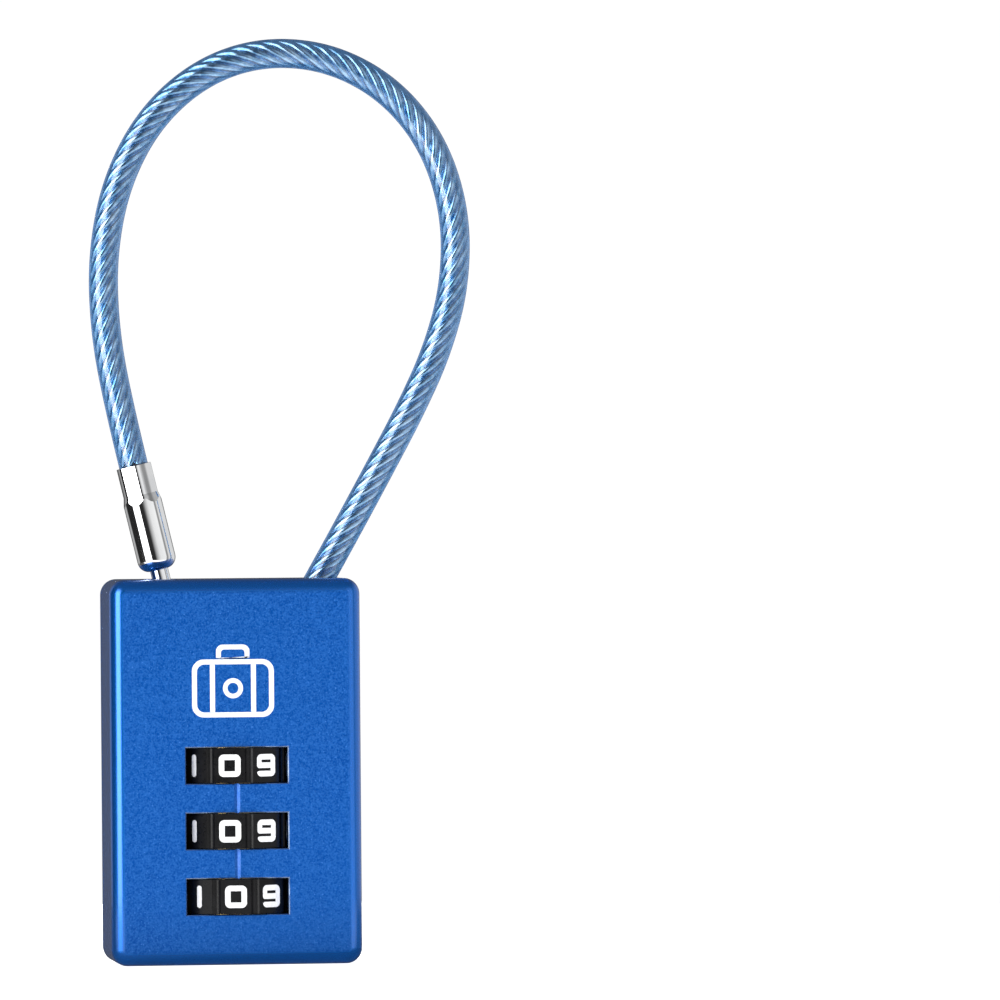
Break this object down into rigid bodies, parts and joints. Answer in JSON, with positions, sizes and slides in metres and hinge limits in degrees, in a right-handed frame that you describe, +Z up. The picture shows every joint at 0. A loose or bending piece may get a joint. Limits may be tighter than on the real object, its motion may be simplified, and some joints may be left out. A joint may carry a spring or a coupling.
{
  "type": "luggage combination padlock",
  "caption": "Flat blue cable padlock for luggage: rectangular body, number dials in front windows, coated cable loop ending in a crimped ferrule and locking pin.",
  "frame": {"origin": "centre of the body's bottom face, halfway through its thickness", "axes": "+Z up the body towards the cable loop, X across the body's width, -Y out of the front face with the dial windows"},
  "size_m": [0.0459, 0.016, 0.1106],
  "materials": {
    "blue_paint": "fine sand-blasted metallic, satin",
    "dial_black": "semi-gloss moulded",
    "digit_white": "matt pad-printed",
    "chrome": "polished",
    "cable_jacket": "clear blue, glossy",
    "brass": "machined",
    "spring_steel": "drawn",
    "spindle_steel": "turned",
    "rivet_steel": "satin"
  },
  "bodies": {
    "housing": {"front_housing": "blue_paint", "back_cover": "blue_paint", "cover_rivets": "rivet_steel", "pin_guide_bush": "brass", "cable_anchor_sleeve": "spring_steel", "latch_clip": "spring_steel", "detent_spring": "spring_steel", "reset_spring": "spring_steel", "cable": "cable_jacket"},
    "bottom_dial": {"dial_bottom": "dial_black", "dial_digits_bottom": "digit_white"},
    "middle_dial": {"dial_middle": "dial_black", "dial_digits_middle": "digit_white"},
    "top_dial": {"dial_top": "dial_black", "dial_digits_top": "digit_white"},
    "bottom_sleeve": {"clutch_sleeve_bottom": "brass"},
    "middle_sleeve": {"clutch_sleeve_middle": "brass"},
    "top_sleeve": {"clutch_sleeve_top": "brass"},
    "reset": {"reset_button": "spindle_steel", "thrust_washer": "spindle_steel", "spindle_spring": "spring_steel"},
    "spindle": {"spindle": "spindle_steel", "lock_plate": "spindle_steel"},
    "cable_pin": {"ferrule": "chrome", "locking_pin": "chrome"}
  },
  "joints": [
    {"name": "bottom_dial_spin", "type": "hinge", "parent": "housing", "child": "bottom_dial", "pos_m": [0, -0.001, 0.0082], "axis": [0, 0, 1], "continuous": true, "deforming": ["detent_spring"]},
    {"name": "middle_dial_spin", "type": "hinge", "parent": "housing", "child": "middle_dial", "pos_m": [0, -0.001, 0.016], "axis": [0, 0, 1], "continuous": true, "deforming": ["detent_spring"]},
    {"name": "top_dial_spin", "type": "hinge", "parent": "housing", "child": "top_dial", "pos_m": [0, -0.001, 0.0238], "axis": [0, 0, 1], "continuous": true, "deforming": ["detent_spring"]},
    {"name": "reset_press", "type": "slide", "parent": "housing", "child": "reset", "axis": [0, 0, -1], "range_m": [-0.0016, 0], "stiffness_N_per_m": 400, "springref_m": 0.0005, "deforming": ["reset_spring"]},
    {"name": "spindle_slide", "type": "slide", "parent": "housing", "child": "spindle", "axis": [0, 0, 1], "range_m": [-0.002, 0], "stiffness_N_per_m": 250, "springref_m": 0.001, "deforming": ["spindle_spring"]},
    {"name": "pin_pull", "type": "slide", "parent": "housing", "child": "cable_pin", "axis": [-0.2317, 0, 0.9728], "range_m": [0, 0.012], "deforming": ["cable", "latch_clip"]},
    {"name": "bottom_sleeve_shift", "type": "slide", "parent": "bottom_dial", "child": "bottom_sleeve", "axis": [0, 0, -1], "range_m": [-0.0016, 0]},
    {"name": "middle_sleeve_shift", "type": "slide", "parent": "middle_dial", "child": "middle_sleeve", "axis": [0, 0, -1], "range_m": [-0.0016, 0]},
    {"name": "top_sleeve_shift", "type": "slide", "parent": "top_dial", "child": "top_sleeve", "axis": [0, 0, -1], "range_m": [-0.0016, 0]}
  ],
  "couplings": [
    {"joint": "bottom_sleeve_shift", "follows": "reset_press", "ratio": 1},
    {"joint": "middle_sleeve_shift", "follows": "reset_press", "ratio": 1},
    {"joint": "top_sleeve_shift", "follows": "reset_press", "ratio": 1}
  ]
}
